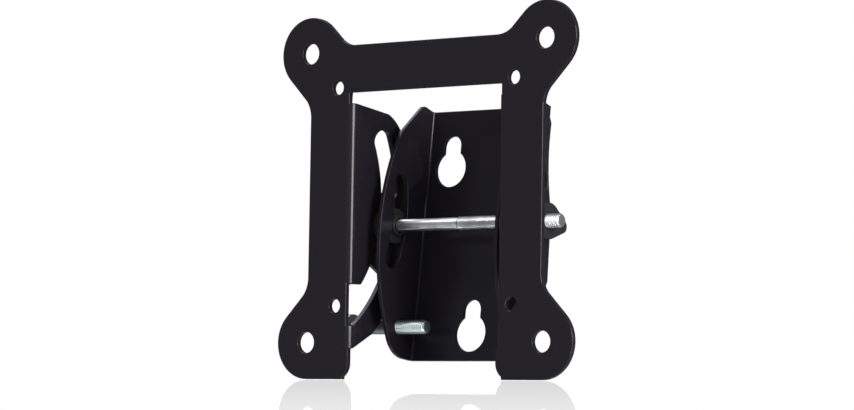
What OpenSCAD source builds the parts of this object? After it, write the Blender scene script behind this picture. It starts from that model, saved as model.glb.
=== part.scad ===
// Tilting screen mount for a small television.
// A folded wall bracket carries a folded screen plate. The plate tilts about a line in the air
// in front of it: one long bolt rides in a pair of arc slots, and the plate's lower arms ride
// on a lock bolt. Both arcs are struck from that same line, so only the turn about it is free.
// Frame: origin at the middle of the wall face, +X right, +Y into the wall, +Z up.

/* [Screen plate] */
// Thickness of the screen plate's sheet
plate_t = 2; // [1.5:0.1:2.5]
// Side of the large square of screen holes
big_pitch = 100; // [96:1:120]
// Side of the small square of screen holes
small_pitch = 75; // [72:1:78]
// Diameter of the large screen holes
big_hole_d = 7.2; // [5:0.1:8]
// Diameter of the small screen holes
small_hole_d = 4.7; // [4.2:0.1:5.4]
// Radius of the four round ears
ear_r = 12.6; // [11:0.1:14]
// Height of the cross bar
bar_h = 16.6; // [14:0.1:18]
// How far the cross bar's top edge lies above the large holes
bar_rise = 2.1; // [1:0.1:4]
// Width of each leg, from its side flange to its outer edge
leg_w = 18.5; // [17:0.1:20]
// Radius of the hollow corners between ears, legs and bar
hollow_r = 10; // [6:0.5:12]
// Radius of the feet's inner corners
foot_r = 5.5; // [3:0.5:7]
// Inner radius of the screen plate's folds
plate_fold_r = 0.8; // [0.5:0.1:1.2]

/* [Side flanges] */
// How far a side flange reaches back past the tilt bolt's arc
flange_reach = 8.9; // [7.5:0.1:10]
// Height of a side flange's top edge above the screen's centre
flange_top = 32.1; // [30:0.1:33]
// Height of a side flange's lower front corner below the screen's centre
flange_low = 30; // [28:0.1:31]
// Radius of a side flange's upper back corner
flange_corner_r = 8; // [6:0.5:10]
// Width of the upper arc slot in a side flange
light_slot_w = 6.6; // [5:0.1:7]
// How far the upper arc slot lies outside the tilt bolt's arc
light_out = 0.7; // [0:0.1:1]
// Angle of the upper arc slot's top end above level
light_top_deg = 24.2; // [20:0.1:25]
// Angle of the upper arc slot's low end above level
light_low_deg = 4; // [2:0.5:8]
// Width of the open arc between a side flange and its lower arm
arm_gap = 8; // [6:0.1:9]
// Angle below level at which the open arc ends
arm_gap_deg = 29.5; // [27:0.5:31]
// Height of a lower arm where it folds out of the foot
arm_fold_h = 7.8; // [6:0.1:8.4]

/* [Tilt] */
// Distance from the screen face forward to the tilt axis
axis_ahead = 28.4; // [27.5:0.1:29.5]
// Height of the tilt axis above the bracket's middle
axis_rise = 4.3; // [2:0.1:6]
// Angle of the screen plate as shown, leaning forward
rest_tilt = 7.2; // [0:0.1:14]
// Radius of the slots' centre line about the tilt axis
slot_r = 48; // [47:0.1:49]
// Width of the arc slots in the wall bracket
slot_w = 7.2; // [6.6:0.1:7.6]
// Distance from the slots' centre line back to the wall, level with the tilt axis
slot_to_wall = 15; // [14.8:0.1:18]
// Angle of the tilt bolt below level, seen from an upright screen plate
bolt_deg = 11; // [8:0.1:14]
// Furthest lean backward that the arc slots allow
tilt_back = 7.3; // [5:0.1:10]
// Furthest lean forward that the arc slots allow
tilt_forward = 24.2; // [20:0.1:25]
// How far the lower arms' outer edge lies outside the tilt bolt's arc
guide_out = 14.6; // [14:0.1:14.7]
// Width of each lower arm
arm_w = 8.5; // [7:0.1:9]

/* [Wall bracket] */
// Thickness of the wall bracket's sheet
wall_t = 1.5; // [1.2:0.1:2]
// Width over the wall bracket's two side walls
bracket_w = 51.6; // [48:0.2:54]
// Height of the wall bracket's back
bracket_h = 88; // [84:1:94]
// Width of the side walls in front of their slots, at their fullest
front_web = 6.8; // [5.5:0.1:8.5]
// Radius of the side walls' curved front edge
belly_r = 80; // [70:1:100]
// Radius of the side walls' lower front corner
toe_r = 11; // [8:0.5:13]
// Inner radius of the wall bracket's folds
wall_fold_r = 0.7; // [0.5:0.1:1]
// Diameter of a keyhole's round part
key_d = 12.8; // [11:0.1:14]
// Width of a keyhole's neck
key_neck = 7.2; // [5.5:0.1:7.6]
// Rise from a keyhole's round part to the round end of its neck
key_rise = 8; // [6:0.1:9]
// Distance between the two upper keyholes
key_pitch = 30; // [28:0.5:31]
// Depth of the upper keyholes below the bracket's top edge
key_drop = 20.5; // [19:0.1:23]
// Height of the lower keyhole above the bracket's lower edge
key_lift = 9.6; // [9:0.1:12]

/* [Tilt bolt and knob] */
// Thread diameter of both bolts
thread_d = 5; // [4.6:0.1:5]
// Diameter of the tilt bolt's plain shank
shank_d = 4.35; // [4:0.05:4.5]
// Diameter of the tilt bolt's domed head
dome_d = 11.6; // [10:0.1:13]
// Height of the domed head
dome_h = 2.9; // [2.4:0.1:3.4]
// Width of the square neck under the domed head
neck_w = 5; // [4.8:0.1:5.4]
// Plain length of the tilt bolt, from under its head
plain_len = 35; // [30:1:40]
// How far the tilt bolt stands out of the knob
bolt_out = 5; // [2:0.5:8]
// Outer diameter of a bush's collar
collar_d = 12; // [10:0.1:13]
// Space between the wall bracket and each side flange, filled by a collar
side_gap = 5.2; // [4:0.1:6]
// Diameter of the steel washer under the knob
washer_d = 10; // [9:0.1:12]
// Thickness of that washer
washer_t = 1; // [0.8:0.1:1.4]
// Radius of the knob's hub
hub_r = 6.2; // [5.8:0.1:7]
// Reach of each wing from the knob's centre
wing_reach = 10.2; // [9:0.1:13]
// Radius of the wings' round tips
wing_tip_r = 2.3; // [1.8:0.1:3]
// Thickness of the knob
knob_t = 5.5; // [5:0.1:7]
// Angle of the back wing below level
wing_deg = 11; // [0:1:45]
// Width across the flats of the nut set in the knob
nut_af = 8; // [7.5:0.1:8.2]
// Thickness of the nut set in the knob
nut_t = 4; // [3:0.1:4.2]

/* [Lock bolt] */
// Angle of the lock bolt below level, seen from the tilt axis
lock_deg = 35.4; // [34:0.1:37]
// Diameter of the lock bolt's round head
lock_head_d = 9.2; // [8:0.1:10]
// Height of the lock bolt's head
lock_head_h = 3.4; // [2.8:0.1:3.8]
// Length of the lock bolt under its head
lock_len = 32.3; // [28:0.1:34]
// Distance from the side flange out to the lock bolt's head, as shown
lock_reach = 11.6; // [4:0.1:13]
// Width of the cross recess in the lock bolt's head
cross_w = 5; // [4:0.1:5.5]

/* [Fits] */
// Play between a bush's sleeve and its slot, on each side
sleeve_play = 0.08; // [0.05:0.01:0.1]
// Play between a thread and the hole that it turns in, on the radius
thread_play = 0.05; // [0.02:0.01:0.08]
// Play between the tilt bolt and the holes that it passes through, on the radius
bore_play = 0.1; // [0.08:0.01:0.15]
// Play between the lower arms and the lock bolt
guide_play = 0.2; // [0.15:0.01:0.3]
// Play between a collar and the wall bracket's side wall
collar_play = 0.05; // [0.03:0.01:0.1]

/* [Hidden] */
$fn = 96;
axis_to_wall = slot_r + slot_to_wall;
guide_r = slot_r + guide_out;
flange_back = slot_r + flange_reach;
side_depth = slot_to_wall + slot_w / 2 + front_web;
side_out = bracket_w / 2;
side_in = side_out - wall_t;
flange_in = side_out + side_gap;
flange_out = flange_in + plate_t;
plate_bend = plate_fold_r + plate_t;
wall_bend = wall_fold_r + wall_t;
leg_in = flange_in + plate_bend;
leg_out = flange_in + leg_w;
ear_c = big_pitch / 2;
ear_slant = ear_r * sqrt(2);
bar_top = ear_c + bar_rise;
bar_low = bar_top - bar_h;
foot_low = -ear_c - ear_r;
fold_end = axis_ahead + plate_bend;
notch_in = flange_in + 1.5;
foot_in = flange_in + 0.4;
top_fall = 1.7;
corner_y = flange_back - flange_corner_r;
corner_z = flange_top - top_fall - flange_corner_r;
waist_depth = 1.6;
waist_half = 15.5;
waist_z = 10.5;
waist_r = (waist_half * waist_half + waist_depth * waist_depth) / (2 * waist_depth);
bulge_z = -7;
arm_in = guide_r - arm_w;
web_r = arm_in - arm_gap;
arm_top_z = -sqrt(arm_in * arm_in - fold_end * fold_end);
arm_root_z = arm_top_z - arm_fold_h;
arm_trim_slope = 0.5;
axis_y = -axis_to_wall;
bolt_y = slot_r * cos(bolt_deg);
bolt_z = -slot_r * sin(bolt_deg);
thread_r = thread_d / 2;
bore_r = thread_r + bore_play;
sleeve_r = slot_w / 2 - sleeve_play;
lock_r = guide_r + guide_play + thread_r;
lock_y = axis_y + lock_r * cos(lock_deg);
lock_z = axis_rise - lock_r * sin(lock_deg);
lock_head_x = flange_out + lock_reach;
lock_end_x = lock_head_x - lock_len;
knob_x = flange_out + washer_t;
bolt_end = knob_x + knob_t + bolt_out;
half_h = bracket_h / 2;
key_up = half_h - key_drop;
key_low = key_lift - half_h;
belly_z = 0.9;
belly_y = belly_r - side_depth;
peak_r = 3;
peak_rise = 0.9;
peak_y = -6.6;
peak_deg = 137;
thread_tip = 0.6;
overrun = 0.01;
tie = 1;
recess_w = 1.1;
recess_h = 1.6;
far = 100;
black = [0.13, 0.13, 0.14];
zinc = [0.78, 0.79, 0.8];

// Brings what is drawn about the tilt axis, screen upright, to its place as shown
module tilted() {
    translate([0, axis_y, axis_rise])
        rotate([rest_tilt, 0, 0])
            children();
}

// The tilt bolt's own line, seen from the tilt axis
module at_bolt() {
    tilted()
        translate([0, bolt_y, bolt_z])
            children();
}

module both_sides() {
    children();
    mirror([1, 0, 0])
        children();
}

// Stands a flat drawing of depth and height on edge, from one x to the other
module side_sheet(from, to) {
    translate([from, 0, 0])
        rotate([90, 0, 90])
            linear_extrude(to - from)
                children();
}

// Stands a flat drawing of width and height upright, from depth y back by t
module front_sheet(y, t) {
    translate([0, y + t, 0])
        rotate([90, 0, 0])
            linear_extrude(t)
                children();
}

// Round bar or hole along X
module rod(r, from, to) {
    translate([from, 0, 0])
        rotate([0, 90, 0])
            cylinder(r = r, h = to - from);
}

// Bar turned about X, whose points give a place along X and the radius there
module turned(points) {
    rotate([0, 90, 0])
        rotate_extrude()
            polygon([for (p = points) [p[1], p[0]]]);
}

// Section of a folded sheet's bend, with a straight tongue on each of its two ends
module bend_section(r_in, r_out, tongue) {
    intersection() {
        difference() {
            circle(r = r_out);
            circle(r = r_in);
        }
        square(r_out);
    }
    translate([-tongue, r_in])
        square([tongue, r_out - r_in]);
    translate([r_in, -tongue])
        square([r_out - r_in, tongue]);
}

// A quarter of a folded sheet's bend, standing from z = low to z = high and tied into both sheets
module bend(c, r_in, r_out, side, low, high) {
    translate([c[0], c[1], low])
        linear_extrude(high - low)
            intersection() {
                scale([side, side])
                    bend_section(r_in, r_out, tie);
                scale([side, side])
                    square(r_out);
            }
    translate([c[0], c[1], low + tie])
        linear_extrude(high - low - 2 * tie)
            scale([side, side])
                bend_section(r_in, r_out, tie / 2);
}

// Ring sector about the origin between two radii, from angle a up to angle b
module sector(r1, r2, a, b) {
    steps = 6;
    step = (b - a) / steps;
    reach = r2 / cos(step / 2) + 1;
    intersection() {
        difference() {
            circle(r = r2);
            circle(r = r1);
        }
        polygon(concat([[0, 0]], [for (i = [0:steps]) reach * [cos(a + i * step), sin(a + i * step)]]));
    }
}

// Arc slot with round ends, whose centres lie at angles a and b; the ends overrun its sides a hair
module arc_slot(r, w, a, b) {
    sector(r - w / 2, r + w / 2, a, b);
    for (end = [a, b])
        rotate(end)
            translate([r, 0])
                circle(r = w / 2 + overrun);
}

// Fills the corner at p, between sides that leave at angles a and b, with a hollow of radius r
module hollow_corner(p, a, b, r) {
    half = (b - a) / 2;
    centre = r / sin(half) * [cos(a + half), sin(a + half)];
    run = r / tan(half);
    translate(p)
        difference() {
            polygon([[0, 0], run * [cos(a), sin(a)], centre, run * [cos(b), sin(b)]]);
            translate(centre)
                circle(r = r + overrun);
        }
}

// Takes the square corner at p off, leaving a round one of radius r
module round_corner(p, r) {
    translate(p)
        difference() {
            translate([-1, -1])
                square(r + 1);
            translate([r, r])
                circle(r = r + overrun);
        }
}

// A round ear and the slanted edge that runs from it to the outside of its leg
module ear() {
    tangent = ear_r / sqrt(2);
    corner = [leg_out, leg_out - ear_slant];
    translate([ear_c, ear_c])
        circle(r = ear_r);
    polygon([
        [ear_c, ear_c],
        [leg_in, ear_c],
        [leg_in, corner[1]],
        corner,
        [ear_c + tangent, ear_c - tangent]
    ]);
    hollow_corner(corner, -90, 45, hollow_r);
}

// The slanted edge that runs from an upper ear to the top of the cross bar
module bar_web() {
    tangent = ear_r / sqrt(2);
    corner = [bar_top - ear_slant, bar_top];
    polygon([[ear_c, ear_c], [ear_c - tangent, ear_c + tangent], corner]);
    hollow_corner(corner, 45, 180, hollow_r);
}

// Right half of the screen plate, flat: bar, leg and the strips between the folds
module plate_outline() {
    translate([0, bar_low])
        square([leg_out, bar_h]);
    translate([leg_in, foot_low])
        square([leg_out - leg_in, bar_top - foot_low]);
    ear();
    bar_web();
    mirror([0, 1])
        ear();
    translate([leg_in, foot_low])
        square([ear_c - leg_in, ear_r]);
    translate([notch_in, flange_top])
        square([leg_in - notch_in, bar_low - flange_top]);
    translate([notch_in, arm_top_z])
        square([leg_in - notch_in, -flange_low - arm_top_z]);
    difference() {
        translate([foot_in, foot_low])
            square([foot_r + 1, arm_root_z - foot_low]);
        round_corner([foot_in, foot_low], foot_r);
    }
}

module screen_holes() {
    for (x = [-1, 1], z = [-1, 1]) {
        translate([x * big_pitch / 2, z * big_pitch / 2])
            circle(d = big_hole_d);
        translate([x * small_pitch / 2, z * small_pitch / 2])
            circle(d = small_hole_d);
    }
}

// Side flange seen from the side, with the tilt axis at the origin
module flange_outline() {
    difference() {
        intersection() {
            circle(r = guide_r);
            union() {
                polygon([
                    [fold_end, flange_top],
                    [corner_y, flange_top - top_fall],
                    [corner_y, corner_z],
                    [flange_back, corner_z],
                    [flange_back, bulge_z],
                    (guide_r + 1) * [cos(arm_gap_deg), -sin(arm_gap_deg)],
                    [guide_r + 1, -far],
                    [fold_end, -far]
                ]);
                translate([corner_y, corner_z])
                    circle(r = flange_corner_r);
            }
        }
        translate([flange_back - waist_depth + waist_r, waist_z])
            circle(r = waist_r);
        arc_slot(slot_r + light_out, light_slot_w, light_low_deg, light_top_deg);
        sector(web_r, arm_in, -90, -arm_gap_deg);
        intersection() {
            circle(r = web_r + arm_gap / 2);
            translate([0, -flange_low - far])
                square(far);
        }
        polygon([
            [0, arm_root_z - fold_end * arm_trim_slope],
            [far, arm_root_z + (far - fold_end) * arm_trim_slope],
            [far, -far],
            [0, -far]
        ]);
    }
}

module plate_half() {
    front_sheet(axis_ahead, plate_t)
        plate_outline();
    for (span = [[-flange_low, flange_top], [arm_root_z, arm_top_z]])
        bend([leg_in, fold_end], plate_fold_r, plate_bend, -1, span[0], span[1]);
    side_sheet(flange_in, flange_out)
        flange_outline();
}

module screen_plate() {
    color(black)
        difference() {
            tilted()
                both_sides()
                    plate_half();
            tilted()
                front_sheet(axis_ahead - 1, plate_t + 2)
                    screen_holes();
            at_bolt()
                rod(bore_r, flange_in - 1, flange_out + 1);
            at_bolt()
                translate([-flange_out - 1, -neck_w / 2 - bore_play, -neck_w / 2 - bore_play])
                    cube([plate_t + 2, neck_w + 2 * bore_play, neck_w + 2 * bore_play]);
        }
}

// Keyhole with its neck upward, centred on its round part
module keyhole() {
    circle(d = key_d);
    translate([-key_neck / 2, 0])
        square([key_neck, key_rise]);
    translate([0, key_rise])
        circle(d = key_neck);
}

// Side wall of the wall bracket seen from the side: a full belly, a round toe, a blunt peak
module wall_side_outline() {
    toe_z = toe_r - half_h;
    toe_run = belly_r - toe_r;
    toe_y = belly_y - sqrt(toe_run * toe_run - (toe_z - belly_z) * (toe_z - belly_z));
    toe_dir = [toe_y - belly_y, toe_z - belly_z] / toe_run;
    peak = [peak_y, half_h + peak_rise - peak_r];
    shoulder = peak + peak_r * [cos(peak_deg), sin(peak_deg)];
    slope = [cos(peak_deg + 90), sin(peak_deg + 90)];
    difference() {
        intersection() {
            translate([belly_y, belly_z])
                circle(r = belly_r, $fn = 180);
            union() {
                polygon([
                    [-wall_bend, half_h],
                    [peak_y, half_h + peak_rise],
                    peak,
                    shoulder,
                    shoulder + far * slope,
                    [-far, -half_h],
                    [-wall_bend, -half_h]
                ]);
                translate(peak)
                    circle(r = peak_r + overrun);
            }
        }
        difference() {
            polygon([
                [toe_y, toe_z],
                [toe_y, toe_z] + 2 * toe_r * toe_dir,
                [toe_y - 2 * toe_r, -half_h - 1],
                [toe_y, -half_h - 1]
            ]);
            translate([toe_y, toe_z])
                circle(r = toe_r + overrun);
        }
        translate([axis_y, axis_rise])
            arc_slot(slot_r, slot_w, -bolt_deg - tilt_back, -bolt_deg + tilt_forward);
    }
}

module wall_half() {
    front_sheet(-wall_t, wall_t)
        translate([0, -half_h])
            square([side_out - wall_bend, bracket_h]);
    bend([side_out - wall_bend, -wall_bend], wall_fold_r, wall_bend, 1, -half_h, half_h);
    side_sheet(side_in, side_out)
        wall_side_outline();
}

module wall_bracket() {
    color(black)
        difference() {
            both_sides()
                wall_half();
            front_sheet(-wall_t - 1, wall_t + 2)
                for (p = [[-key_pitch / 2, key_up], [key_pitch / 2, key_up], [0, key_low]])
                    translate(p)
                        keyhole();
            translate([0, lock_y, lock_z])
                rod(thread_r + thread_play, -side_out - 1, -side_in + 1);
        }
}

// Bolt with a domed head, a square neck in the left flange, a plain shank and a rolled thread
module tilt_bolt() {
    dome_r = (dome_d * dome_d / 4 + dome_h * dome_h) / (2 * dome_h);
    thread_from = plain_len - flange_out;
    color(zinc)
        at_bolt() {
            intersection() {
                translate([dome_r - dome_h - flange_out, 0, 0])
                    sphere(r = dome_r);
                rod(dome_d, -flange_out - dome_h - 1, -flange_out);
            }
            translate([-flange_out, -neck_w / 2, -neck_w / 2])
                cube([plate_t, neck_w, neck_w]);
            turned([
                [-flange_out - tie, 0],
                [-flange_out - tie, shank_d / 2],
                [thread_from, shank_d / 2],
                [thread_from, thread_r],
                [bolt_end - thread_tip, thread_r],
                [bolt_end, thread_r - thread_tip],
                [bolt_end, 0]
            ]);
        }
}

// Stepped bush: its sleeve slides in the arc slot, its collar fills the gap beside it
module bush() {
    difference() {
        union() {
            rod(collar_d / 2, side_out + collar_play, flange_in);
            rod(sleeve_r, side_in, flange_in);
        }
        rod(bore_r, side_in - 1, flange_in + 1);
    }
}

module right_bush() {
    color([0.09, 0.09, 0.1])
        at_bolt()
            bush();
}

module left_bush() {
    color([0.09, 0.09, 0.1])
        at_bolt()
            mirror([1, 0, 0])
                bush();
}

module knob_washer() {
    color(zinc)
        at_bolt()
            difference() {
                rod(washer_d / 2, flange_out, knob_x);
                rod(bore_r, flange_out - 1, knob_x + 1);
            }
}

// Round hub with two tapering wings, seen along the bolt
module knob_outline() {
    run = wing_reach - wing_tip_r;
    lean = acos((hub_r - wing_tip_r) / run);
    touch = [cos(lean), sin(lean)];
    circle(r = hub_r);
    for (turn = [0, 180])
        rotate(turn - wing_deg) {
            translate([run, 0])
                circle(r = wing_tip_r);
            polygon([
                [0, 0],
                hub_r * [touch[0], -touch[1]],
                [run, 0] + wing_tip_r * [touch[0], -touch[1]],
                [run, 0] + wing_tip_r * touch,
                hub_r * touch
            ]);
        }
}

module hex_rod(af, from, to) {
    translate([from, 0, 0])
        rotate([0, 90, 0])
            cylinder(d = af / cos(30), h = to - from, $fn = 6);
}

module wing_knob() {
    color([0.09, 0.09, 0.1])
        at_bolt()
            difference() {
                side_sheet(knob_x, knob_x + knob_t)
                    knob_outline();
                hex_rod(nut_af, knob_x - 1, knob_x + nut_t);
                rod(bore_r, knob_x, knob_x + knob_t + 1);
            }
}

module knob_nut() {
    color(zinc)
        at_bolt()
            difference() {
                hex_rod(nut_af, knob_x, knob_x + nut_t);
                rod(thread_r + thread_play, knob_x - 1, knob_x + nut_t + 1);
            }
}

// Round-headed bolt screwed through the left side wall, bearing on the left lower arm
module lock_bolt() {
    crown_r = lock_head_d * 0.9;
    top_x = -lock_head_x - lock_head_h;
    color(zinc)
        translate([0, lock_y, lock_z]) {
            difference() {
                intersection() {
                    rod(lock_head_d / 2, top_x, -lock_head_x);
                    translate([top_x + crown_r, 0, 0])
                        sphere(r = crown_r);
                }
                for (turn = [45, 135])
                    rotate([turn, 0, 0])
                        translate([top_x - 1, -cross_w / 2, -recess_w / 2])
                            cube([recess_h + 1, cross_w, recess_w]);
            }
            turned([
                [-lock_head_x - tie, 0],
                [-lock_head_x - tie, thread_r],
                [-lock_end_x - thread_tip, thread_r],
                [-lock_end_x, thread_r - thread_tip],
                [-lock_end_x, 0]
            ]);
        }
}

wall_bracket();
screen_plate();
tilt_bolt();
left_bush();
right_bush();
knob_washer();
wing_knob();
knob_nut();
lock_bolt();
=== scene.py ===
# %% [markdown]
# # A small tilting wall mount, dressed for a catalogue picture
# The metalwork comes from the CAD frame, where every fold, slot and hole already has its place.
# This notebook adds what CAD leaves out: softened sheet edges, rolled threads, finishes, light
# and the camera. Lengths are in metres; mm() turns a workshop size into one.

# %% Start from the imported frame
import math

import bmesh
import bpy
from mathutils import Matrix, Vector
from mathutils.bvhtree import BVHTree


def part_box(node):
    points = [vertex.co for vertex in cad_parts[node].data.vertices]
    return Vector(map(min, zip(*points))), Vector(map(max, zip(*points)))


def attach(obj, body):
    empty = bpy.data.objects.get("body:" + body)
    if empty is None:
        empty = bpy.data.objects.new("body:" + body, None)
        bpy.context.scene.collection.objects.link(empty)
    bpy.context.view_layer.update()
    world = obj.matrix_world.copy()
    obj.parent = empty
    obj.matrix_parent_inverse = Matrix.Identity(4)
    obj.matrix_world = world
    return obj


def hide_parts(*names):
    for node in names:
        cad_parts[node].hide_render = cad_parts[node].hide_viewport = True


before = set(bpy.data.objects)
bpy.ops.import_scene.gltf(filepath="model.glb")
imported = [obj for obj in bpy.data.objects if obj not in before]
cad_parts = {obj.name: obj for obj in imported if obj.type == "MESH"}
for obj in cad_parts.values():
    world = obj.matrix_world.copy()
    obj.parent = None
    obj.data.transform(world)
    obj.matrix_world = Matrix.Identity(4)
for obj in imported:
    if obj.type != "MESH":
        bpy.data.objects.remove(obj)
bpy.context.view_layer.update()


def mm(value):
    return value / 1000


print("CAD nodes:", ", ".join(sorted(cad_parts)))

# %% [markdown]
# ## Softened edges
# A punched and powder-coated sheet never has a razor edge: the paint pulls round it in a radius
# of about a quarter of a millimetre, and that tiny round catches a line of light. A bevel needs
# a welded mesh, and a CAD node is loose triangles, so each sheet is a welded copy. Coplanar
# triangles are dissolved first, because a bevel follows real edges best.

# %% A welded copy of a CAD node
CAD_WELD = mm(0.002)


def welded_copy(node):
    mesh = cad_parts[node].data.copy()
    shape = bmesh.new()
    shape.from_mesh(mesh)
    bpy.data.meshes.remove(mesh)
    bmesh.ops.remove_doubles(shape, verts=shape.verts, dist=CAD_WELD)
    return shape


# %% A finished piece from a bmesh, shaded smooth up to an angle
def place(shape, name, body, node, smooth_to=50):
    mesh = bpy.data.meshes.new(name)
    for face in shape.faces:
        face.smooth = True
    for edge in shape.edges:
        if len(edge.link_faces) == 2:
            edge.smooth = edge.calc_face_angle(0) < math.radians(smooth_to)
    shape.to_mesh(mesh)
    shape.free()
    piece = bpy.data.objects.new(name, mesh)
    bpy.context.scene.collection.objects.link(piece)
    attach(piece, body)
    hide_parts(node)
    print(f"{name}: {len(mesh.polygons)} faces")
    return piece


# %% Keep large faces flat, and let only the narrow rounds turn the light
def flatten_shading(piece):
    weighted = piece.modifiers.new("flat_faces", "WEIGHTED_NORMAL")
    weighted.mode = "FACE_AREA"
    weighted.weight = 60
    weighted.keep_sharp = True


# %% Put back the points that a bevel throws off the surface where folds end
def put_back_strays(shape, surface, limit):
    strays = {v for v in shape.verts if surface.find_nearest(v.co)[3] > limit}
    print("strays put back:", len(strays))
    while strays:
        ready = {}
        for v in strays:
            around = [e.other_vert(v) for e in v.link_edges]
            near = [other.co for other in around if other not in strays]
            if near:
                ready[v] = sum(near, Vector()) / len(near)
        if not ready:
            break
        for v, spot in ready.items():
            v.co = surface.find_nearest(spot)[0]
        strays -= set(ready)


# %% Round every sharp edge of a welded shape
FLAT_ANGLE, SHARP_ANGLE = math.radians(0.3), math.radians(28)
STRAY_SHARE = 0.6


def soften(shape, radius):
    bmesh.ops.dissolve_limit(
        shape, angle_limit=FLAT_ANGLE, verts=shape.verts, edges=shape.edges
    )
    sharp = [
        e
        for e in shape.edges
        if len(e.link_faces) == 2 and e.calc_face_angle(0) > SHARP_ANGLE
    ]
    surface = BVHTree.FromBMesh(shape)
    bmesh.ops.bevel(
        shape,
        geom=sharp,
        offset=radius,
        segments=2,
        profile=0.5,
        affect="EDGES",
        material=-1,
        clamp_overlap=False,
    )
    put_back_strays(shape, surface, STRAY_SHARE * radius)
    return len(sharp)


# %% [markdown]
# ## Flange outline
# Laid over the photo, the frame's left flange shows a waist behind the bolt where the real one
# runs straight, and both light slots are narrow. Both are outline only, so the points on those
# edges move in the flange's own plane, measured from the line that the plate tilts about. The
# right flange's back edge matches the photo, and stays.

# %% Where the flanges' points are, and where they go
TILT_LINE, PLATE_LEAN = Vector((mm(-63), mm(4.3))), math.radians(7.2)
FLANGE_SPAN = (mm(30.9), mm(33.1))
SLOT_INNER, SLOT_OUTER, SLOT_LOW = mm(45.4), mm(52), mm(-1)
SLOT_MARGIN, SLOT_STRETCH = mm(0.1), 9.1 / 6.6
CORNER_REACH, BACK_CORNER_R = mm(54), mm(16)
BACK_CORNER = Vector((mm(42.9), mm(15)))
EDGE_FROM, EDGE_LOW, BACK_EDGE = mm(50), mm(-8), mm(58.9)
EDGE_BEND, EDGE_SLOPE = mm(-1.5), 0.2


# %% Widen the light slots and straighten the left flange's back edge
def reshape_flanges(shape):
    turn = Matrix.Rotation(PLATE_LEAN, 2)
    moved = 0
    for v in shape.verts:
        if not FLANGE_SPAN[0] < abs(v.co.x) < FLANGE_SPAN[1]:
            continue
        spot = turn.inverted() @ (Vector((v.co.y, v.co.z)) - TILT_LINE)
        reach = spot.length
        in_band = SLOT_INNER - SLOT_MARGIN < reach < SLOT_OUTER + SLOT_MARGIN
        if in_band and spot.y > SLOT_LOW:
            spot *= (SLOT_INNER + (reach - SLOT_INNER) * SLOT_STRETCH) / reach
        elif v.co.x > 0:
            continue
        elif reach > CORNER_REACH and spot.x > BACK_CORNER.x and spot.y > BACK_CORNER.y:
            spot = BACK_CORNER + (spot - BACK_CORNER).normalized() * BACK_CORNER_R
        elif spot.x > EDGE_FROM and spot.y > EDGE_LOW:
            spot.x = BACK_EDGE - EDGE_SLOPE * max(EDGE_BEND - spot.y, 0)
        else:
            continue
        v.co.y, v.co.z = TILT_LINE + turn @ spot
        moved += 1
    print("flange points moved:", moved)


# %% The two folded sheets
BRACKET_ROUND, PLATE_ROUND = mm(0.22), mm(0.3)
bracket_shape = welded_copy("wall_bracket")
print("bracket edges rounded:", soften(bracket_shape, BRACKET_ROUND))
bracket = place(
    bracket_shape, "bracket_sheet", "wall_bracket", "wall_bracket"
)
plate_shape = welded_copy("screen_plate")
reshape_flanges(plate_shape)
print("plate edges rounded:", soften(plate_shape, PLATE_ROUND))
plate = place(plate_shape, "plate_sheet", "tilting_plate", "screen_plate")
flatten_shading(bracket)
flatten_shading(plate)

# %% [markdown]
# ## Rolled threads
# Both bolts are M5 with a 0.8 mm pitch. A texture could fake the thread, but its outline shows
# against the sheet behind it, so it is geometry: one pitch of thread profile is spun round the
# bolt and pushed along by one pitch for each turn, which is what the dvec of a spin does. The
# ends are then cut square with a plane, closed, and chamfered by pulling the last ring in.

# %% One pitch of profile, spun into a screw with some turns to spare
PITCH, MAJOR, MINOR = mm(0.8), mm(2.5), mm(2.06)
THREAD_PROFILE = (
    (0, MINOR),
    (0.14, MINOR),
    (0.46, MAJOR),
    (0.62, MAJOR),
    (0.94, MINOR),
    (1, MINOR),
)
STEPS, LEAD_TURNS, SPARE_TURNS = 28, 1.5, 3
SCREW_WELD = mm(0.004)


def spun_thread(start, end, line):
    shape = bmesh.new()
    first = start - LEAD_TURNS * PITCH
    ring = [
        shape.verts.new((first + x * PITCH, line.y, line.z + r))
        for x, r in THREAD_PROFILE
    ]
    edges = [shape.edges.new(pair) for pair in zip(ring, ring[1:])]
    turns = math.ceil((end - start) / PITCH) + SPARE_TURNS
    bmesh.ops.spin(
        shape,
        geom=ring + edges,
        cent=line,
        axis=(1, 0, 0),
        dvec=(PITCH / STEPS, 0, 0),
        angle=math.tau * turns,
        steps=STEPS * turns,
    )
    bmesh.ops.remove_doubles(shape, verts=shape.verts, dist=SCREW_WELD)
    return shape


# %% Cut at x, keep the side that keep points to, and close the end
PLANE_SNAP, ON_PLANE = mm(0.0005), mm(0.01)


def cut(shape, x, keep):
    bmesh.ops.bisect_plane(
        shape,
        geom=shape.verts[:] + shape.edges[:] + shape.faces[:],
        dist=PLANE_SNAP,
        plane_co=(x, 0, 0),
        plane_no=(-keep, 0, 0),
        clear_outer=True,
    )
    rim = [
        e
        for e in shape.edges
        if e.is_boundary and all(abs(v.co.x - x) < ON_PLANE for v in e.verts)
    ]
    bmesh.ops.holes_fill(shape, edges=rim, sides=0)


# %% Chamfer the screw's tip
TIP_CHAMFER = mm(0.6)


def chamfer(shape, tip, line):
    for v in shape.verts:
        arm = Vector((0, v.co.y - line.y, v.co.z - line.z))
        reach = MAJOR - TIP_CHAMFER + max(tip - v.co.x, 0)
        if arm.length > reach:
            v.co = Vector((v.co.x, line.y, line.z)) + arm * (reach / arm.length)


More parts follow.
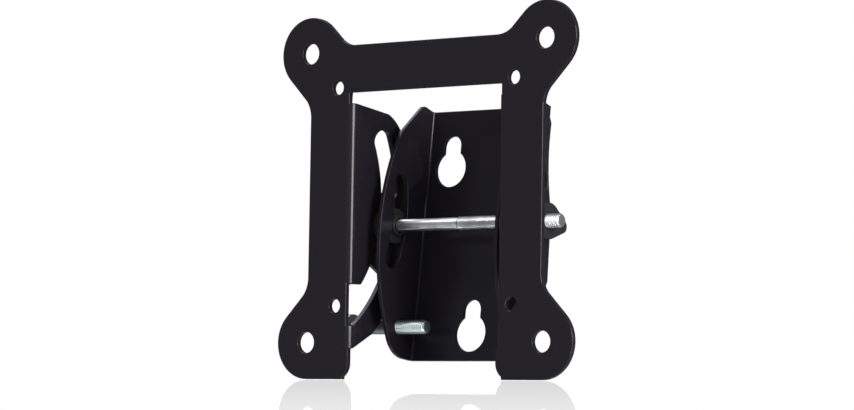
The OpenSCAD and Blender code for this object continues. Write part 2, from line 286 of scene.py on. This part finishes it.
# %% Each bolt keeps its CAD head and shank, and gets a real screw on a round piece's middle
def bolt(node, name, body, round_piece, start):
    low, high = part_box(round_piece)
    line = Vector((0, (low.y + high.y) / 2, (low.z + high.z) / 2))
    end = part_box(node)[1].x
    plain = welded_copy(node)
    cut(plain, start, -1)
    screw = spun_thread(start, end, line)
    cut(screw, start, 1)
    cut(screw, end, -1)
    chamfer(screw, end, line)
    part = bpy.data.meshes.new("part")
    screw.to_mesh(part)
    screw.free()
    plain.from_mesh(part)
    bpy.data.meshes.remove(part)
    bmesh.ops.recalc_face_normals(plain, faces=plain.faces)
    return place(plain, name, body, node, smooth_to=30)


# %% The two bolts
TILT_THREAD_FROM = mm(2)
LOCK_THREAD_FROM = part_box("lock_bolt")[1].x - mm(32.3)
tilt_screw = bolt(
    node="tilt_bolt",
    name="tilt_bolt_steel",
    body="tilting_plate",
    round_piece="knob_washer",
    start=TILT_THREAD_FROM,
)
lock_screw = bolt(
    node="lock_bolt",
    name="lock_bolt_steel",
    body="lock_bolt",
    round_piece="lock_bolt",
    start=LOCK_THREAD_FROM,
)

# %% [markdown]
# ## The knob
# The wing knob is moulded, so its edges are rounder than a punched sheet's. A mould also leaves
# no flat corner at the wings, and a round of a third of a millimetre shows this best.

# %% Knob
KNOB_ROUND = mm(0.35)
knob_shape = welded_copy("wing_knob")
print("knob edges rounded:", soften(knob_shape, KNOB_ROUND))
knob = place(knob_shape, "knob_body", "knob", "wing_knob")
flatten_shading(knob)

# %% [markdown]
# ## Shader arithmetic
# A finish is a few numbers that vary over the surface. Written as node chains they are hard to
# read, so a small class wraps a socket and lets Python's own operators add the Math nodes.

# %% A socket that can be added and multiplied
class Wire:
    def __init__(self, tree, socket=None):
        self.tree, self.socket = tree, socket

    def node(self, kind, settings=None, values=None, out=0):
        made = self.tree.nodes.new(kind)
        for key, value in (settings or {}).items():
            setattr(made, key, value)
        for key, value in (values or {}).items():
            if isinstance(value, Wire):
                self.tree.links.new(value.socket, made.inputs[key])
            else:
                made.inputs[key].default_value = value
        return Wire(self.tree, made.outputs[out])

    def math(self, operation, a, b):
        return self.node("ShaderNodeMath", {"operation": operation}, {0: a, 1: b})

    def __add__(self, other):
        return self.math("ADD", self, other)

    def __sub__(self, other):
        return self.math("SUBTRACT", self, other)

    def __rsub__(self, other):
        return self.math("SUBTRACT", other, self)

    def __mul__(self, other):
        return self.math("MULTIPLY", self, other)

    __radd__, __rmul__ = __add__, __mul__

    def between(self, low, high):
        values = {"Value": self, "From Min": low, "From Max": high}
        return self.node("ShaderNodeMapRange", {"interpolation_type": "SMOOTHSTEP"}, values)


# %% A material with its constants on the shader's own sockets
def finish(name, **constants):
    material = bpy.data.materials.new(name)
    material.use_nodes = True
    shader = material.node_tree.nodes["Principled BSDF"]
    for key, value in constants.items():
        shader.inputs[key.replace("_", " ")].default_value = value
    return material, shader, Wire(material.node_tree)


def feed(shader, **wires):
    for key, wire in wires.items():
        wire.tree.links.new(wire.socket, shader.inputs[key.replace("_", " ")])


# %% [markdown]
# ## Black powder coat
# The sheets carry a smooth, fairly glossy black coat with the faint orange peel that powder
# leaves when it flows out. It is a dielectric over steel, so it stays a plain dark Principled
# shader. The peel is a shallow bump of about a millimetre, and the gloss wanders slightly.

# %% Powder coat
def powder_coat(name):
    tone = (0.0092, 0.0081, 0.0113, 1)
    material, shader, w = finish(name, Base_Color=tone, Metallic=0.0, Specular_IOR_Level=0.22)
    place_on = w.node("ShaderNodeTexCoord", out=3)
    peel = w.node("ShaderNodeTexNoise", {}, {"Vector": place_on, "Scale": 900, "Detail": 2})
    patch = w.node("ShaderNodeTexNoise", {}, {"Vector": place_on, "Scale": 45, "Detail": 3})
    bump = {"Height": peel, "Strength": 0.08, "Distance": mm(0.05)}
    feed(
        shader,
        Roughness=patch * 0.08 + 0.15,
        Normal=w.node("ShaderNodeBump", {}, bump),
    )
    return material


bracket_coat = powder_coat("bracket_powder_coat")
plate_coat = powder_coat("plate_powder_coat")

# %% [markdown]
# ## Bright zinc
# Zinc plate on steel is a soft grey metal with a cool cast. Rolling marks run round the bolt,
# so the roughness noise is squeezed along X, and a slow cloud varies the brightness.

# %% Zinc
CLOUD_DULL = 0.72


def zinc(name, tint, rough):
    material, shader, w = finish(name, Metallic=1.0)
    spot = w.node("ShaderNodeTexCoord", out=3)
    ringed = w.node("ShaderNodeMapping", {}, {"Vector": spot, "Scale": (9, 1, 1)})
    marks = w.node("ShaderNodeTexNoise", {}, {"Vector": ringed, "Scale": 260, "Detail": 3})
    cloud = w.node("ShaderNodeTexNoise", {}, {"Vector": spot, "Scale": 160, "Detail": 2})
    dull = tuple(CLOUD_DULL * c for c in tint)
    mixed = w.node(
        "ShaderNodeMix",
        {"data_type": "RGBA"},
        {0: cloud.between(0.35, 0.7), 6: (*tint, 1), 7: (*dull, 1)},
        out=2,
    )
    feed(shader, Base_Color=mixed, Roughness=marks * 0.16 + rough)
    return material


bolt_zinc = zinc("bolt_zinc", (0.86, 0.88, 0.9), 0.26)
# The lock bolt's zinc is a darker, greener copy of the bolt's zinc: painted shade for the
# shadow the lock bolt sits in.
lock_zinc_painted_shade = zinc("lock_zinc_painted_shade", (0.66, 0.73, 0.72), 0.24)
small_zinc = zinc("washer_zinc", (0.74, 0.76, 0.76), 0.18)

# %% [markdown]
# ## Nylon and moulded plastic
# The bushes are matt black nylon. The knob is a harder plastic with a spark-eroded grain.

# %% Plastics
def plastic(name, colour, rough, grain):
    material, shader, w = finish(name, Base_Color=(*colour, 1), Metallic=0.0)
    spot = w.node("ShaderNodeTexCoord", out=3)
    speckle = w.node("ShaderNodeTexNoise", {}, {"Vector": spot, "Scale": 2600, "Detail": 2})
    bump = {"Height": speckle, "Strength": grain, "Distance": mm(0.04)}
    feed(shader, Roughness=speckle * 0.1 + rough, Normal=w.node("ShaderNodeBump", {}, bump))
    return material


nylon = plastic("bush_nylon", (0.012, 0.012, 0.013), 0.45, 0.1)
knob_plastic = plastic("knob_plastic", (0.012, 0.0115, 0.013), 0.3, 0.15)

# %% Give each piece its finish
finishes = [
    (bracket, bracket_coat),
    (plate, plate_coat),
    (tilt_screw, bolt_zinc),
    (lock_screw, lock_zinc_painted_shade),
    (knob, knob_plastic),
    (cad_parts["left_bush"], nylon),
    (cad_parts["right_bush"], nylon),
    (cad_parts["knob_washer"], small_zinc),
    (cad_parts["knob_nut"], small_zinc),
]
for piece, material in finishes:
    piece.data.materials.clear()
    piece.data.materials.append(material)

# %% [markdown]
# ## The stage
# In the picture the mount stands on the two feet of its screen plate, on a glossy white table
# that mirrors it faintly. The table is level for the picture, not for the wall, so it is laid
# at the slope that meets both feet. It is clear to the camera and to mirrored rays, which lets
# the white behind show through, and pale to diffuse ones. A share of it mirrors, and that share
# falls towards its near edge.

# %% Table under the feet
TABLE_SLOPE = math.radians(10)
TABLE_HALF, TABLE_SHIFT = (0.45, 0.25, 1), (0.1, -0.2, mm(-0.2))
FOOT_Y = mm(-27)
foot_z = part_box("screen_plate")[0].z
table_mesh = bpy.data.meshes.new("table")
table_shape = bmesh.new()
bmesh.ops.create_grid(table_shape, x_segments=1, y_segments=1, size=1)
bmesh.ops.scale(table_shape, vec=TABLE_HALF, verts=table_shape.verts)
bmesh.ops.translate(table_shape, vec=TABLE_SHIFT, verts=table_shape.verts)
bmesh.ops.rotate(
    table_shape,
    cent=(0, 0, 0),
    matrix=Matrix.Rotation(TABLE_SLOPE, 3, "X"),
    verts=table_shape.verts,
)
bmesh.ops.translate(table_shape, vec=(0, FOOT_Y, foot_z), verts=table_shape.verts)
table_shape.to_mesh(table_mesh)
table_shape.free()
table = bpy.data.objects.new("table", table_mesh)
bpy.context.scene.collection.objects.link(table)
print("feet stand at z =", round(foot_z * 1000, 2), "mm")


# %% One for a ray of any of these kinds
def ray_is(w, *kinds):
    path = w.tree.nodes.new("ShaderNodeLightPath")
    wires = [Wire(w.tree, path.outputs[f"Is {kind} Ray"]) for kind in kinds]
    return sum(wires[1:], wires[0])


# %% Table finish
MIRROR_NEAR, MIRROR_FAR = -0.36, -0.02
MIRROR_LEAST, MIRROR_GAIN = 0.16, 0.14
top = bpy.data.materials.new("white_table")
top.use_nodes = True
top.node_tree.nodes.clear()
w = Wire(top.node_tree)
seen = ray_is(w, "Camera", "Glossy", "Transmission")
where = w.node("ShaderNodeSeparateXYZ", {}, {0: w.node("ShaderNodeTexCoord", out=3)}, out=1)
share = where.between(MIRROR_NEAR, MIRROR_FAR) * MIRROR_GAIN + MIRROR_LEAST
pale = w.node("ShaderNodeBsdfDiffuse", {}, {"Color": (0.8, 0.8, 0.8, 1)})
clear = w.node("ShaderNodeBsdfTransparent")
body = w.node("ShaderNodeMixShader", {}, {0: seen, 1: pale, 2: clear})
mirror = w.node("ShaderNodeBsdfGlossy", {}, {"Color": (1, 1, 1, 1), "Roughness": 0})
surface = w.node("ShaderNodeMixShader", {}, {0: share, 1: body, 2: mirror})
w.tree.links.new(surface.socket, w.tree.nodes.new("ShaderNodeOutputMaterial").inputs[0])
table_mesh.materials.append(top)

# %% [markdown]
# ## Light
# The camera sees the room as plain white, straight and in the table's mirror. Black gloss shows
# what it faces, so its rays find a dim room with three darker patches: one in front, beside the
# camera, and two behind the mount. That keeps the fronts deep black, and the softboxes draw
# thin lines on the folds.

# %% World
FRONT_SIDE = Vector((-0.61, -0.77, 0.05)).normalized()
FAR_SIDE = Vector((0.61, 0.77, 0.17)).normalized()
BACK_SIDE = Vector((-0.61, 0.77, 0.17)).normalized()
DARK_PATCHES = (
    (FRONT_SIDE, 0.45, 0.86, 0.4),
    (FAR_SIDE, 0.3, 0.85, 0.8),
    (BACK_SIDE, 0.3, 0.85, 0.8),
)
GLOSS_ROOM, DIFFUSE_ROOM = 0.4, 0.7
world = bpy.data.worlds.new("studio")
bpy.context.scene.world = world
world.use_nodes = True
world.node_tree.nodes.clear()
w = Wire(world.node_tree)
in_view = ray_is(w, "Camera", "Singular", "Transmission")
in_view = w.node("ShaderNodeClamp", {}, {0: in_view})
glossy = ray_is(w, "Glossy")
heading = w.node("ShaderNodeTexCoord", out=0)
gloss_level = GLOSS_ROOM
for side, rim, core, depth in DARK_PATCHES:
    aim = {0: heading, 1: side}
    facing = w.node("ShaderNodeVectorMath", {"operation": "DOT_PRODUCT"}, aim, out=1)
    gloss_level = (1 - facing.between(rim, core) * depth) * gloss_level
level = in_view + (1 - in_view) * (glossy * gloss_level + (1 - glossy) * DIFFUSE_ROOM)
background = w.node("ShaderNodeBackground", {}, {"Color": (1, 1, 1, 1), "Strength": level})
w.tree.links.new(background.socket, w.tree.nodes.new("ShaderNodeOutputWorld").inputs[0])
print("dark patches in the room:", len(DARK_PATCHES))


# %% Lamps, all turned to the mount's middle
def softbox(name, at, size, power):
    data = bpy.data.lights.new(name, "AREA")
    data.shape, data.size, data.energy = "SQUARE", size, power
    lamp = bpy.data.objects.new(name, data)
    lamp.location = at
    lamp.rotation_mode = "QUATERNION"
    lamp.rotation_quaternion = (-Vector(at)).to_track_quat("-Z", "Y")
    bpy.context.scene.collection.objects.link(lamp)


softbox("key_lamp", (-0.5, -0.9, 1.1), 0.7, 10)
softbox("side_lamp", (1.3, -0.3, 0.3), 0.7, 34)
softbox("top_lamp", (-0.6, -0.12, 1.0), 1.0, 6.5)

# %% [markdown]
# ## Camera
# A long lens from the right and a little below keeps the legs nearly parallel, as in the photo.
# Its place and its lean are the best fit to the plate's holes and outline.

# %% Camera
EYE = Vector((mm(690.215), mm(-905.5), mm(-181.73)))
AHEAD = Vector((-0.61137, 0.77396, 0.16494))
LEAN = math.radians(5.386)
camera_data = bpy.data.cameras.new("camera")
camera_data.sensor_width = 36
camera_data.lens = 141.145
camera = bpy.data.objects.new("camera", camera_data)
turn = AHEAD.to_track_quat("-Z", "Y").to_matrix() @ Matrix.Rotation(LEAN, 3, "Z")
camera.matrix_world = Matrix.Translation(EYE) @ turn.to_4x4()
bpy.context.scene.collection.objects.link(camera)
bpy.context.scene.camera = camera
bpy.context.scene.view_settings.view_transform = "Standard"
